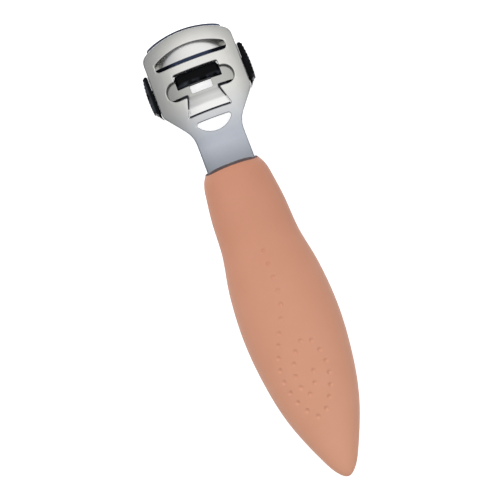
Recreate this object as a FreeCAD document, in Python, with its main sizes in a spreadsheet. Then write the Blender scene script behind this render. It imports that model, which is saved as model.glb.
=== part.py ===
import FreeCAD, Part
import math
import os
import Sketcher
from FreeCAD import Matrix, Placement, Rotation, Vector

# Corn cutter: a stamped spring steel head that holds a blade behind its slot, a clamp plate hinged
# behind it, and a long soft handle. Millimetres. X is across, +Y is the head end, +Z is the face.
# Depths are measured from the front skin of the head plate, reaches from the head's top edge.

doc = FreeCAD.newDocument("corn_cutter")
sheet = doc.addObject("Spreadsheet::Sheet", "Sizes")

SIZES = {
    "Whole tool": {
        "head_reach": 50.7,
        "leaf_rise": 1.6,
        "overrun": 3.0,
        "fit_gap": 0.05,
    },
    "Head plate": {
        "leaf_radius": 46.0,
        "leaf_wall": 0.8,
        "blade_margin": 0.6,
        "brow_radius": 34.0,
        "brow_round": 4.0,
        "lip_start": 10.0,
        "lip_radius": 40.0,
        "flare_start": 27.1,
        "flare_end": 37.9,
        "flare_round": 2.5,
        "neck_half": 8.7,
        "neck_round": 9.8,
        "tang_half": 7.0,
        "tang_length": 36.0,
        "tang_round": 2.0,
    },
    "Openings in the head plate": {
        "slot_half": 13.0,
        "slot_shoulder": 8.5,
        "slot_radius": 28.0,
        "slot_low": 11.5,
        "slot_round": 1.35,
        "window_top": 14.6,
        "window_half": 8.15,
        "lobe_top": 16.8,
        "lobe_half": 12.35,
        "lobe_low": 23.9,
        "lobe_round": 3.4,
        "latch_half": 5.85,
        "latch_end_half": 7.55,
        "latch_low": 30.9,
        "latch_round": 1.3,
        "small_round": 0.5,
        "moon_half": 6.3,
        "moon_top": 33.9,
        "moon_radius": 6.7,
        "moon_round": 0.9,
    },
    "Hinge": {
        "pivot_reach": 5.8,
        "pivot_gap": 0.09709,
        "ear_inset": 1.7,
        "ear_wall": 0.8,
        "ear_round": 1.35,
        "ear_gap": 0.2,
        "rivet_radius": 0.6,
        "rivet_head_radius": 0.95,
        "rivet_head": 0.4,
    },
    "Clamp plate": {
        "clamp_wall": 0.7,
        "clamp_depth": 1.35,
        "clamp_step": 0.3,
        "clamp_round": 1.2,
        "bowl_depth": 4.2,
        "bowl_reach": 10.4,
        "ramp_reach": 14.4,
        "rim_reach": 1.2,
        "rim_round": 1.5,
        "waist_reach": 8.4,
        "lobe_gap": 0.8,
        "tongue_depth": 0.3,
        "tongue_root": 24.0,
        "tongue_flat": 25.8,
        "latch_gap": 0.35,
        "hole_half": 3.9,
        "hole_low": 22.9,
    },
    "Blade": {
        "blade_depth": 0.95,
        "blade_wall": 0.25,
        "blade_half": 15.9,
        "blade_top": 10.5,
        "blade_low": 16.6,
        "bevel_reach": 1.0,
        "blade_edge": 0.05,
    },
    "Blade carrier": {
        "carrier_depth": 2.15,
        "carrier_wall": 1.2,
        "carrier_top": 15.4,
        "carrier_low": 27.6,
        "bar_depth": 0.35,
        "bar_gap": 0.2,
        "bar_low": 19.6,
        "bar_root": 2.6,
        "bar_round": 0.8,
        "guard_gap": 0.4,
        "guard_wall": 1.5,
        "guard_low_wall": 1.85,
        "guard_radius": 45.0,
        "guard_root": 0.8,
        "guard_reach": 11.5,
        "guard_low": 28.0,
        "guard_taper": 2.4,
        "guard_rise": 3.2,
        "guard_floor": 7.0,
        "guard_round": 2.5,
        "rib_pitch": 1.25,
        "rib_groove": 0.5,
    },
    "Carrier rivets": {
        "stud_across": 13.8325,
        "stud_reach": 20.2,
        "stud_radius": 0.9,
        "stud_head_radius": 1.6,
        "stud_head": 0.6,
    },
    "Handle": {
        "handle_length": 119.3,
        "handle_half": 17.4,
        "handle_rise": 9.4,
        "handle_belly": 8.7,
        "rest_drop": 6.5,
        "skin_wall": 2.0,
        "mouth_gap": 0.45,
        "mouth_lip": 0.4,
        "mouth_recess": 2.6,
        "dimple_radius": 0.95,
        "dimple_half": 0.72,
        "dimple_pitch": 4.7,
        "dimple_start": 33.8,
        "whorl_place": 79.0,
        "whorl_shift": 1.2,
        "whorl_length": 20.5,
        "whorl_half": 9.4,
        "whorl_length_step": 7.9,
        "whorl_half_step": 4.0,
        "pin_radius": 1.25,
        "pin_length": 6.4,
        "pin_first": 9.0,
        "pin_spacing": 20.0,
    },
}

row = 1
for heading, sizes in SIZES.items():
    sheet.set("A" + str(row), heading)
    row += 1
    for name, size in sizes.items():
        sheet.set("A" + str(row), name.replace("_", " "))
        sheet.set("B" + str(row), str(size))
        sheet.setAlias("B" + str(row), name)
        row += 1
doc.recompute()

NAMES = {name for sizes in SIZES.values() for name in sizes}
DERIVED = {}


def measure(text):
    """Adds up a sum of named sizes, such as "slot_low - slot_round"."""
    total = 0
    sign = 1
    for word in text.split():
        if word in NAMES:
            total += sign * sheet.get(word)
        if word in DERIVED:
            total += sign * DERIVED[word][0]
        sign = -1 if word == "-" else 1
    return total


def formula(text):
    """Turns the same sum, or any other formula in named sizes, into a formula on the sheet."""
    words = []
    for word in text.split():
        if word in DERIVED:
            word = "( " + DERIVED[word][1] + " )"
        words.append("Sizes." + word if word in NAMES else word)
    return " ".join(words)


def flip(text):
    """Changes the sign of each term of a sum."""
    return "- " + text.replace(" + ", " * ").replace(" - ", " + ").replace(" * ", " - ")


def derive(name, value, text):
    """Keeps a size that isn't a plain sum, both worked out and as a formula on the sheet."""
    DERIVED[name] = (value, formula(text))


def bind(feature, settings):
    for setting, text in settings.items():
        feature.setExpression(setting, formula(text))


def place(piece, along, up):
    """Puts a piece's own origin into the tool, measured from the middle of the rest face."""
    bind(piece, {"Placement.Base.y": along, "Placement.Base.z": up})


def new_body(label, along, up):
    body = doc.addObject("PartDesign::Body", label)
    body.Label = label
    place(body, along, up)
    return body


def sketch_on(body, name, role, lift=None):
    sketch = body.newObject("Sketcher::SketchObject", name)
    plane = next(item for item in body.Origin.OriginFeatures if item.Role == role)
    sketch.AttachmentSupport = [(plane, "")]
    sketch.MapMode = "FlatFace"
    if lift:
        bind(sketch, {"AttachmentOffset.Base.z": lift})
    return sketch


def constrain(sketch, text, kind, *points):
    """Adds a constraint whose size is a sum of named sizes."""
    index = sketch.addConstraint(Sketcher.Constraint(kind, *points, measure(text)))
    bind(sketch, {"Constraints[" + str(index) + "]": text})


def pin_point(sketch, line, across, along):
    """Fixes the start of a line at a sum of named sizes each way from the sketch's origin."""
    for kind, text in (("DistanceX", across), ("DistanceY", along)):
        value = measure(text)
        if value > 0:
            constrain(sketch, text, kind, -1, 1, line, 1)
        else:
            index = sketch.addConstraint(Sketcher.Constraint(kind, line, 1, -1, 1, -value))
            sketch.setExpression("Constraints[" + str(index) + "]", "-(" + formula(text) + ")")


def draw_loop(sketch, corners):
    """Draws a closed loop, counter-clockwise: a third entry makes the next side an outward arc."""
    points = [Vector(measure(corner[0]), measure(corner[1]), 0) for corner in corners]
    lines = []
    for number, corner in enumerate(corners):
        start = points[number]
        end = points[(number + 1) % len(points)]
        if len(corner) == 2:
            lines.append(sketch.addGeometry(Part.LineSegment(start, end)))
            continue
        radius = measure(corner[2])
        chord = end - start
        inward = Vector(-chord.y, chord.x, 0).normalize()
        centre = (start + end) / 2 + inward * math.sqrt(radius ** 2 - (chord.Length / 2) ** 2)
        circle = Part.Circle(centre, Vector(0, 0, 1), radius)
        arc = Part.ArcOfCircle(circle, circle.parameter(start), circle.parameter(end))
        lines.append(sketch.addGeometry(arc))
    for number, line in enumerate(lines):
        following = lines[(number + 1) % len(lines)]
        sketch.addConstraint(Sketcher.Constraint("Coincident", line, 2, following, 1))
        pin_point(sketch, line, corners[number][0], corners[number][1])
        if len(corners[number]) == 3:
            constrain(sketch, corners[number][2], "Radius", line)


def mirrored(right_side):
    """Closes a loop from its right-hand corners, listed from the handle end to the head end."""
    left_side = []
    for number in reversed(range(len(right_side))):
        corner = right_side[number]
        before = right_side[number - 1] if number else ()
        left_side.append((flip(corner[0]), corner[1]) + before[2:3])
    return right_side + left_side


def reflected(loop):
    """Gives the loop on the other side of the tool's middle plane."""
    return [(flip(loop[number][0]), loop[number][1]) + loop[number - 1][2:3]
            for number in reversed(range(len(loop)))]


def draw_leaf(sketch, front, back, half):
    """Draws the section of a plate that follows the curve of the head, between two radii."""
    edge = measure(half)
    centre = Vector(0, -measure("leaf_radius"), 0)
    up = Vector(0, 0, 1)
    arcs = []
    for text in (front, back):
        circle = Part.Circle(centre, up, measure(text))
        lean = math.asin(edge / circle.Radius)
        arc = Part.ArcOfCircle(circle, math.pi / 2 - lean, math.pi / 2 + lean)
        arcs.append(sketch.addGeometry(arc))
    outer, inner = (sketch.Geometry[arc] for arc in arcs)
    right = sketch.addGeometry(Part.LineSegment(inner.StartPoint, outer.StartPoint))
    left = sketch.addGeometry(Part.LineSegment(outer.EndPoint, inner.EndPoint))
    for first, first_end, second, second_end in (
            (right, 1, arcs[1], 1), (right, 2, arcs[0], 1), (left, 1, arcs[0], 2), (left, 2, arcs[1], 2)):
        sketch.addConstraint(Sketcher.Constraint("Coincident", first, first_end, second, second_end))
    for side in (left, right):
        sketch.addConstraint(Sketcher.Constraint("Vertical", side))
    sketch.addConstraint(Sketcher.Constraint("PointOnObject", arcs[0], 3, -2))
    sketch.addConstraint(Sketcher.Constraint("Coincident", arcs[0], 3, arcs[1], 3))
    constrain(sketch, "leaf_radius", "DistanceY", arcs[0], 3, -1, 1)
    constrain(sketch, front, "Radius", arcs[0])
    constrain(sketch, back, "Radius", arcs[1])
    constrain(sketch, half, "DistanceX", -1, 1, arcs[0], 1)
    constrain(sketch, half, "DistanceX", arcs[0], 2, -1, 1)


def pad(body, name, sketch, length, backwards=False):
    feature = body.newObject("PartDesign::Pad", name)
    feature.Profile = sketch
    feature.Reversed = backwards
    bind(feature, {"Length": length})
    doc.recompute()
    return feature


def cut_through(body, name, loops, lift="overrun", role="XY_Plane"):
    """Cuts loops right through a body, from a sketch that stands clear of it on one side."""
    before = body.Shape.Volume
    sketch = sketch_on(body, name + "_outline", role, lift)
    for loop in loops:
        draw_loop(sketch, loop)
    feature = body.newObject("PartDesign::Pocket", name)
    feature.Profile = sketch
    feature.Type = "ThroughAll"
    doc.recompute()
    if not body.Shape.Volume < before:
        raise RuntimeError(name + " removes nothing")
    return feature


def round_corners(body, name, radius, places):
    """Rounds the edges that stand upright at the given places, right and left."""
    wanted = [(side * measure(across), measure(along)) for across, along in places for side in (-1, 1)]
    shape = body.Tip.Shape
    slack = measure("fit_gap")
    edges = []
    for number, edge in enumerate(shape.Edges, 1):
        points = [vertex.Point for vertex in edge.Vertexes]
        for x, y in wanted:
            if all(math.hypot(point.x - x, point.y - y) < slack for point in points):
                edges.append("Edge" + str(number))
    if len(edges) < len(wanted):
        raise RuntimeError(name + " misses a corner")
    base = body.Tip
    feature = body.newObject("PartDesign::Fillet", name)
    feature.Base = (base, edges)
    bind(feature, {"Radius": radius})
    doc.recompute()
    return feature


def box_loop(half, low, top):
    return mirrored([(half, low), (half, top)])


def draw_circle(sketch, radius, across=None, along=None):
    """Draws a circle at a place, given as sums of named sizes, or at the sketch's origin."""
    centre = Vector(measure(across) if across else 0, measure(along) if along else 0, 0)
    circle = sketch.addGeometry(Part.Circle(centre, Vector(0, 0, 1), measure(radius)))
    constrain(sketch, radius, "Radius", circle)
    for kind, text, axis in (("DistanceX", across, -2), ("DistanceY", along, -1)):
        if not text:
            sketch.addConstraint(Sketcher.Constraint("PointOnObject", circle, 3, axis))
            continue
        index = sketch.addConstraint(Sketcher.Constraint(kind, circle, 3, -1, 1, -measure(text)))
        sketch.setExpression("Constraints[" + str(index) + "]", "-(" + formula(text) + ")")


def round_pad(body, name, role, radius, lift, length, backwards=False, across=None, along=None):
    sketch = sketch_on(body, name + "_outline", role, lift)
    draw_circle(sketch, radius, across, along)
    return pad(body, name, sketch, length, backwards)


def drill(body, name, role, radius, lift, places, leans=(None,), backwards=False):
    """Cuts round holes right through a body, straight or leaning over about the head's curve."""
    before = body.Shape.Volume
    for number, lean in enumerate(leans):
        sketch = sketch_on(body, name + "_outline_" + str(number), role, lift)
        if lean:
            turn = Rotation(Vector(0, 1, 0), lean)
            sketch.AttachmentOffset = Placement(Vector(0, 0, measure(lift)), turn)
        for across, along in places:
            draw_circle(sketch, radius, across, along)
        feature = body.newObject("PartDesign::Pocket", name + "_" + str(number))
        feature.Profile = sketch
        feature.Type = "ThroughAll"
        feature.Reversed = backwards
        doc.recompute()
        after = body.Shape.Volume
        if not after < before:
            raise RuntimeError(name + " removes nothing")
        before = after


def sweep(body, name, section, spine, transition="Transformed"):
    feature = body.newObject("PartDesign::AdditivePipe", name)
    feature.Profile = section
    feature.Spine = (spine, [])
    feature.Transition = transition
    doc.recompute()
    return feature


def sagitta(radius, half):
    return radius - math.sqrt(radius ** 2 - half ** 2)


# Sizes that are worked out from the sheet by more than a sum.
derive("head_along", (measure("head_reach + handle_length - rim_reach")) / 2,
       "( head_reach + handle_length - rim_reach ) / 2")
derive("mouth_along", (measure("handle_length - head_reach - rim_reach")) / 2,
       "( handle_length - head_reach - rim_reach ) / 2")
HEAD_UP = "rest_drop + leaf_rise"
HEAD_HALF = "blade_half + blade_margin"
CLAMP_HALF = "blade_half - clamp_step"
EAR_OUTER = HEAD_HALF + " - ear_inset"
EAR_INNER = EAR_OUTER + " - ear_wall"
LUG_OUTER = EAR_INNER + " - ear_gap"
LUG_INNER = LUG_OUTER + " - clamp_wall"
TANG_END = "head_reach + mouth_recess + tang_length"
NECK_END = "head_reach + mouth_recess - fit_gap"
BAR_HALF = "window_half - bar_gap"
GUARD_INNER = HEAD_HALF + " + guard_gap"
GUARD_HALF = GUARD_INNER + " + guard_wall"
GUARD_LOW_HALF = GUARD_INNER + " + guard_low_wall"
stud_turn = math.degrees(math.asin(measure("stud_across") / measure("leaf_radius")))
derive("brow_drop", sagitta(measure("brow_radius"), measure(HEAD_HALF)),
       "brow_radius - sqrt( brow_radius ^ 2 - ( " + HEAD_HALF + " ) ^ 2 )")
derive("ear_seat", sagitta(measure("leaf_radius") - measure("leaf_wall") / 2, measure(EAR_OUTER))
       + measure("leaf_wall") / 2 + measure("lip_start - pivot_reach") ** 2 / (2 * measure("lip_radius")),
       "leaf_radius - sqrt( ( leaf_radius - leaf_wall / 2 ) ^ 2 - ( " + EAR_OUTER + " ) ^ 2 )"
       " + ( lip_start - pivot_reach ) ^ 2 / ( 2 * lip_radius )")
derive("pivot_depth", sagitta(measure("leaf_radius - leaf_wall"), measure(EAR_OUTER + " + rivet_head"))
       + measure("leaf_wall") + measure("lip_start - pivot_reach") ** 2 / (2 * measure("lip_radius"))
       + measure("rivet_head_radius + pivot_gap"),
       "leaf_radius - sqrt( ( leaf_radius - leaf_wall ) ^ 2 - ( " + EAR_OUTER + " + rivet_head ) ^ 2 )"
       " + ( lip_start - pivot_reach ) ^ 2 / ( 2 * lip_radius ) + rivet_head_radius + pivot_gap")
derive("lug_seat", sagitta(measure("leaf_radius - clamp_depth"), measure(LUG_OUTER))
       + measure("bowl_depth") + measure("clamp_wall") / 2,
       "bowl_depth + clamp_wall / 2 + leaf_radius - clamp_depth"
       " - sqrt( ( leaf_radius - clamp_depth ) ^ 2 - ( " + LUG_OUTER + " ) ^ 2 )")
derive("rim_drop", sagitta(measure("brow_radius + rim_reach"), measure(LUG_OUTER)) - measure("rim_reach"),
       "brow_radius - sqrt( ( brow_radius + rim_reach ) ^ 2 - ( " + LUG_OUTER + " ) ^ 2 )")


def hinge_ears(body, name, inner, wall, seat):
    """Adds the two cheeks that carry the hinge rivets, from the rivet's line to a seat in the plate."""
    for side, lift, backwards in (("right", inner, False), ("left", flip(inner), True)):
        round_pad(body, name + "_eye_" + side, "YZ_Plane", "ear_round", lift, wall, backwards,
                  "- pivot_reach", "- pivot_depth")
        sketch = sketch_on(body, name + "_web_" + side + "_outline", "YZ_Plane", lift)
        ends = sorted((flip(seat), "- pivot_depth"), key=measure)
        draw_loop(sketch, [("- pivot_reach - ear_round", ends[0]), ("- pivot_reach + ear_round", ends[0]),
                           ("- pivot_reach + ear_round", ends[1]), ("- pivot_reach - ear_round", ends[1])])
        pad(body, name + "_web_" + side, sketch, wall, backwards)
    drill(body, name + "_holes", "YZ_Plane", "rivet_radius + fit_gap", HEAD_HALF + " + overrun",
          [("- pivot_reach", "- pivot_depth")])


# The head plate: one spring steel stamping, curved across, with its lip curled back and its tang
# running into the handle. The skin comes up through the slot and meets the blade there.
head_plate = new_body("head_plate", "head_along", HEAD_UP)
section = sketch_on(head_plate, "leaf_section", "XZ_Plane", TANG_END)
draw_leaf(section, "leaf_radius", "leaf_radius - leaf_wall", HEAD_HALF)
spine = sketch_on(head_plate, "leaf_spine", "YZ_Plane")
tang_start = Vector(-measure(TANG_END), 0, 0)
lip_start = Vector(-measure("lip_start"), 0, 0)
straight = spine.addGeometry(Part.LineSegment(tang_start, lip_start))
lip_centre = lip_start - Vector(0, measure("lip_radius"), 0)
lip_circle = Part.Circle(lip_centre, Vector(0, 0, 1), measure("lip_radius"))
lip_end = math.acos(measure("lip_start + overrun") / measure("lip_radius"))
curl = spine.addGeometry(Part.ArcOfCircle(lip_circle, lip_end, math.pi / 2))
spine.addConstraint(Sketcher.Constraint("PointOnObject", straight, 1, -1))
spine.addConstraint(Sketcher.Constraint("Horizontal", straight))
spine.addConstraint(Sketcher.Constraint("Tangent", straight, 2, curl, 2))
constrain(spine, TANG_END, "DistanceX", straight, 1, -1, 1)
constrain(spine, "lip_start", "DistanceX", straight, 2, -1, 1)
constrain(spine, "lip_radius", "Radius", curl)
constrain(spine, "overrun", "DistanceX", -1, 1, curl, 1)
sweep(head_plate, "leaf", section, spine)
cut_through(head_plate, "trim", [
    box_loop(HEAD_HALF + " + overrun", flip(TANG_END) + " - overrun", "overrun + overrun"),
    mirrored([("tang_half", flip(TANG_END)), ("tang_half", flip(NECK_END)), ("neck_half", flip(NECK_END)),
              ("neck_half", "- flare_end"), (HEAD_HALF, "- flare_start"),
              (HEAD_HALF, "- brow_drop", "brow_radius")])])
round_corners(head_plate, "brow_corners", "brow_round", [(HEAD_HALF, "- brow_drop")])
round_corners(head_plate, "flare_corners", "flare_round", [(HEAD_HALF, "- flare_start")])
round_corners(head_plate, "neck_corners", "neck_round", [("neck_half", "- flare_end")])
round_corners(head_plate, "tang_corners", "tang_round", [("tang_half", flip(TANG_END))])
cut_through(head_plate, "slot", [
    mirrored([("slot_half", "- slot_low"), ("slot_half", "- slot_shoulder", "slot_radius")])])
round_corners(head_plate, "slot_corners", "slot_round",
              [("slot_half", "- slot_low"), ("slot_half", "- slot_shoulder")])
cut_through(head_plate, "window", [mirrored([
    ("latch_end_half", "- latch_low"), ("latch_half", "- lobe_low"), ("lobe_half", "- lobe_low"),
    ("lobe_half", "- lobe_top"), ("window_half", "- lobe_top"), ("window_half", "- window_top")])])
round_corners(head_plate, "lobe_corners", "lobe_round",
              [("lobe_half", "- lobe_low"), ("lobe_half", "- lobe_top")])
round_corners(head_plate, "latch_corners", "latch_round", [("latch_end_half", "- latch_low")])
round_corners(head_plate, "window_corners", "small_round", [
    ("latch_half", "- lobe_low"), ("window_half", "- lobe_top"), ("window_half", "- window_top")])
cut_through(head_plate, "moon", [[("- moon_half", "- moon_top", "moon_radius"), ("moon_half", "- moon_top")]])
round_corners(head_plate, "moon_corners", "moon_round", [("moon_half", "- moon_top")])
drill(head_plate, "tang_holes", "XY_Plane", "pin_radius + fit_gap", "overrun",
      [(None, "- head_reach - pin_first"), (None, "- head_reach - pin_first - pin_spacing")])
hinge_ears(head_plate, "ear", EAR_INNER, "ear_wall", "ear_seat")


# The clamp plate: hinged between the head's ears, it bears on the blade behind the slot, bows back
# from there to leave room for the shavings, and latches with a tongue that springs into the window.
clamp_plate = new_body("clamp_plate", "head_along", HEAD_UP)
section = sketch_on(clamp_plate, "clamp_section", "XZ_Plane", "latch_low + overrun")
bind(section, {"AttachmentOffset.Base.y": "clamp_depth - tongue_depth"})
draw_leaf(section, "leaf_radius - clamp_depth", "leaf_radius - clamp_depth - clamp_wall", CLAMP_HALF)
spine = sketch_on(clamp_plate, "clamp_spine", "YZ_Plane")
stations = [("- latch_low - overrun", "- tongue_depth"), ("- tongue_flat", "- tongue_depth"),
            ("- tongue_root", "- clamp_depth"), ("- ramp_reach", "- clamp_depth"),
            ("- bowl_reach", "- bowl_depth"), ("rim_reach + overrun", "- bowl_depth")]
runs = []
for start, end in zip(stations, stations[1:]):
    ends = [Vector(measure(along), measure(up), 0) for along, up in (start, end)]
    runs.append(spine.addGeometry(Part.LineSegment(*ends)))
    pin_point(spine, runs[-1], *start)
for run, following in zip(runs, runs[1:]):
    spine.addConstraint(Sketcher.Constraint("Coincident", run, 2, following, 1))
spine.addConstraint(Sketcher.Constraint("Horizontal", runs[-1]))
constrain(spine, stations[-1][0], "DistanceX", -1, 1, runs[-1], 2)
sweep(clamp_plate, "clamp_leaf", section, spine, "Right corner")
tongue_half = "latch_half - latch_gap"
shoulder = "- lobe_low + lobe_gap"
cut_through(clamp_plate, "clamp_trim", [
    box_loop(CLAMP_HALF + " + overrun", "- latch_low - overrun - overrun", "rim_reach + overrun + overrun"),
    mirrored([("latch_end_half - latch_gap", "- latch_low + latch_gap"), (tongue_half, "- lobe_low"),
              (tongue_half, shoulder), (CLAMP_HALF, shoulder), (CLAMP_HALF, "- waist_reach"),
              (LUG_OUTER, "- waist_reach"),
              (LUG_OUTER, "- rim_drop", "brow_radius + rim_reach")])])
round_corners(clamp_plate, "rim_corners", "rim_round", [(LUG_OUTER, "- rim_drop")])
round_corners(clamp_plate, "skirt_corners", "clamp_round",
              [(CLAMP_HALF, shoulder), (CLAMP_HALF, "- waist_reach")])
round_corners(clamp_plate, "tongue_corners", "latch_round",
              [("latch_end_half - latch_gap", "- latch_low + latch_gap")])
round_corners(clamp_plate, "shoulder_corners", "small_round", [(tongue_half, shoulder)])
cut_through(clamp_plate, "bar_opening", [mirrored([
    ("hole_half", "- hole_low"), ("hole_half", "- bar_low - bar_gap"),
    (BAR_HALF + " + bar_gap", "- bar_low - bar_gap"), (BAR_HALF + " + bar_gap", "- ramp_reach")])])
round_corners(clamp_plate, "hole_corners", "small_round", [("hole_half", "- hole_low")])
drill(clamp_plate, "stud_holes", "XY_Plane", "stud_radius + fit_gap", "- leaf_radius",
      [(None, "- stud_reach")], (stud_turn, -stud_turn), True)
hinge_ears(clamp_plate, "lug", LUG_INNER, "clamp_wall", "lug_seat")


# The hinge rivets: one each side, fast in the head's ear, with the clamp's lug running on its shank.
def hinge_rivet(label, backwards):
    rivet = new_body(label, "head_along - pivot_reach", HEAD_UP + " - pivot_depth")
    for part, start, length, radius in (
            ("head", EAR_OUTER, "rivet_head", "rivet_head_radius"),
            ("shank", LUG_INNER + " - fit_gap", "ear_wall + ear_gap + clamp_wall + fit_gap", "rivet_radius"),
            ("tail", LUG_INNER + " - fit_gap - rivet_head", "rivet_head", "rivet_head_radius")):
        lift = flip(start) if backwards else start
        round_pad(rivet, label + "_" + part, "YZ_Plane", radius, lift, length, backwards)
    return rivet


pivot_rivet_right = hinge_rivet("pivot_rivet_right", False)
pivot_rivet_left = hinge_rivet("pivot_rivet_left", True)

# The blade: a thin steel strip between the head plate and the clamp plate. Its edge looks out into
# the slot, and a notch in its back sits round the bar of the carrier.
blade = new_body("blade", "head_along", HEAD_UP)
section = sketch_on(blade, "blade_section", "XZ_Plane", "blade_low")
draw_leaf(section, "leaf_radius - blade_depth", "leaf_radius - blade_depth - blade_wall", "blade_half")
pad(blade, "blade_strip", section, "blade_low - blade_top", True)
cut_through(blade, "blade_notch", [box_loop(BAR_HALF + " + bar_gap", "- blade_low - overrun", "- window_top")])
strip = blade.Tip
front_limit = measure("leaf_radius - blade_depth - fit_gap")
edge_names = []
for number, edge in enumerate(strip.Shape.Edges, 1):
    ahead = abs(edge.CenterOfMass.y + measure("blade_top")) < measure("fit_gap")
    if ahead and edge.Length > measure("blade_half") and edge.Curve.Radius < front_limit:
        edge_names.append("Edge" + str(number))
bevel = blade.newObject("PartDesign::Chamfer", "blade_bevel")
bevel.Base = (strip, edge_names)
bevel.ChamferType = "Two distances"
bind(bevel, {"Size": "bevel_reach", "Size2": "blade_wall - blade_edge"})
doc.recompute()

# The carrier: a black moulding behind the clamp plate, with a bar that shows in the window and two
# ribbed guards beside the head that cover the ends of the blade and take the fingers.
blade_carrier = new_body("blade_carrier", "head_along", HEAD_UP)
back_radius = "leaf_radius - carrier_depth - carrier_wall"
section = sketch_on(blade_carrier, "plate_section", "XZ_Plane", "carrier_low")
draw_leaf(section, "leaf_radius - carrier_depth", back_radius, GUARD_INNER + " + guard_root")
pad(blade_carrier, "plate", section, "carrier_low - carrier_top", True)
guard_loop = [(GUARD_INNER, "- guard_low"), (GUARD_LOW_HALF, "- guard_low + guard_taper", "guard_radius"),
              (GUARD_HALF, "- guard_reach - guard_taper"), (GUARD_INNER, "- guard_reach")]
for side, loop in (("right", guard_loop), ("left", reflected(guard_loop))):
    sketch = sketch_on(blade_carrier, "guard_" + side + "_outline", "XY_Plane", "- guard_rise")
    draw_loop(sketch, loop)
    pad(blade_carrier, "guard_" + side, sketch, "guard_floor - guard_rise", True)
round_corners(blade_carrier, "guard_corners", "guard_round", [
    (GUARD_LOW_HALF, "- guard_low + guard_taper"), (GUARD_HALF, "- guard_reach - guard_taper")])
before = blade_carrier.Shape.Volume
sketch = sketch_on(blade_carrier, "groove_outline", "XY_Plane", "overrun")
groove_loop = [(GUARD_HALF, "- guard_reach - guard_taper - rib_groove"),
               (GUARD_LOW_HALF + " + overrun", "- guard_reach - guard_taper - rib_groove"),
               (GUARD_LOW_HALF + " + overrun", "- guard_reach - guard_taper"),
               (GUARD_HALF, "- guard_reach - guard_taper")]
for loop in (groove_loop, reflected(groove_loop)):
    draw_loop(sketch, loop)
groove = blade_carrier.newObject("PartDesign::Pocket", "groove")
groove.Profile = sketch
groove.Type = "ThroughAll"
doc.recompute()
grooves = blade_carrier.newObject("PartDesign::LinearPattern", "grooves")
grooves.Originals = [groove]
grooves.Direction = (sketch, ["V_Axis"])
grooves.Reversed = True
ribbed = measure("guard_low - guard_reach - guard_taper - guard_taper")
grooves.Occurrences = 1 + int((ribbed - measure("rib_groove")) / measure("rib_pitch"))
bind(grooves, {"Length": "rib_pitch * " + str(grooves.Occurrences - 1)})
blade_carrier.Tip = grooves
doc.recompute()
if not blade_carrier.Shape.Volume < before:
    raise RuntimeError("the grooves remove nothing")
section = sketch_on(blade_carrier, "bar_section", "XZ_Plane", "bar_low")
draw_leaf(section, "leaf_radius - bar_depth", "leaf_radius - bar_root", BAR_HALF)
bar = pad(blade_carrier, "bar", section, "bar_low - window_top - bar_gap", True)
bar_radius = measure("leaf_radius - bar_depth")
edge_names = []
for number, edge in enumerate(bar.Shape.Edges, 1):
    if isinstance(edge.Curve, Part.Circle) and abs(edge.Curve.Radius - bar_radius) < measure("fit_gap"):
        edge_names.append("Edge" + str(number))
bar_rounds = blade_carrier.newObject("PartDesign::Fillet", "bar_rounds")
bar_rounds.Base = (bar, edge_names)
bind(bar_rounds, {"Radius": "bar_round"})
doc.recompute()
cut_through(blade_carrier, "carrier_hole", [box_loop("hole_half", "- hole_low", "- bar_low")])
drill(blade_carrier, "carrier_stud_holes", "XY_Plane", "stud_radius + fit_gap", "- leaf_radius",
      [(None, "- stud_reach")], (stud_turn, -stud_turn), True)


# The carrier's rivets lean over with the curve of the head, flush in front, with a head behind.
def carrier_rivet(label, lean):
    rivet = new_body(label, "head_along - stud_reach", HEAD_UP + " - leaf_radius")
    rivet.Placement = Placement(rivet.Placement.Base, Rotation(Vector(0, 1, 0), lean))
    round_pad(rivet, label + "_shank", "XY_Plane", "stud_radius", "leaf_radius - clamp_depth",
              "carrier_depth + carrier_wall + fit_gap - clamp_depth", True)
    round_pad(rivet, label + "_head", "XY_Plane", "stud_head_radius",
              "leaf_radius - carrier_depth - carrier_wall - fit_gap", "stud_head", True)
    return rivet


carrier_rivet_right = carrier_rivet("carrier_rivet_right", stud_turn)
carrier_rivet_left = carrier_rivet("carrier_rivet_left", -stud_turn)

# The handle: half widths of the front part are shares of the swell from mouth to widest place, and
# of the rear part shares of the widest half width, against shares of the handle's length.
swell_shares = ((0.0243, 0.177), (0.078, 0.342), (0.168, 0.494), (0.257, 0.570), (0.348, 0.81), (0.419, 0.937))
widest_share = 0.51
taper_shares = ((0.653, 0.931), (0.797, 0.733), (0.868, 0.560), (0.9405, 0.345), (0.977, 0.205))


def handle_blank(length, mouth_half, half, rise, belly, drop):
    """A solid handle shape: an oval body of its own height above and below, flat where it rests."""
    points = [Vector(mouth_half, 0, 0)]
    for station_share, swell_share in swell_shares:
        points.append(Vector(mouth_half + (half - mouth_half) * swell_share, -length * station_share, 0))
    points.append(Vector(half, -length * widest_share, 0))
    for station_share, half_share in taper_shares:
        points.append(Vector(half * half_share, -length * station_share, 0))
    tip = Vector(0, -length, 0)
    side = Part.BSplineCurve()
    side.interpolate(points + [tip] + [Vector(-point.x, point.y, 0) for point in reversed(points)])
    side.segment(side.FirstParameter, side.parameter(tip))
    axis = Part.makeLine(tip, Vector(0, 0, 0))
    mouth = Part.makeLine(Vector(0, 0, 0), points[0])
    face = Part.Face(Part.Wire([side.toShape(), axis, mouth]))
    halves = []
    for direction, height in ((-1, rise), (1, belly)):
        turned = face.revolve(Vector(0, 0, 0), Vector(0, direction, 0), 180)
        flatten = Matrix()
        flatten.scale(Vector(1, 1, height / half))
        halves.append(turned.transformGeometry(flatten))
    blank = halves[0].fuse(halves[1])
    below = Part.makeBox(2 * half, length, belly, Vector(-half, -length, -drop - belly))
    return blank.cut(below)


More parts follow.
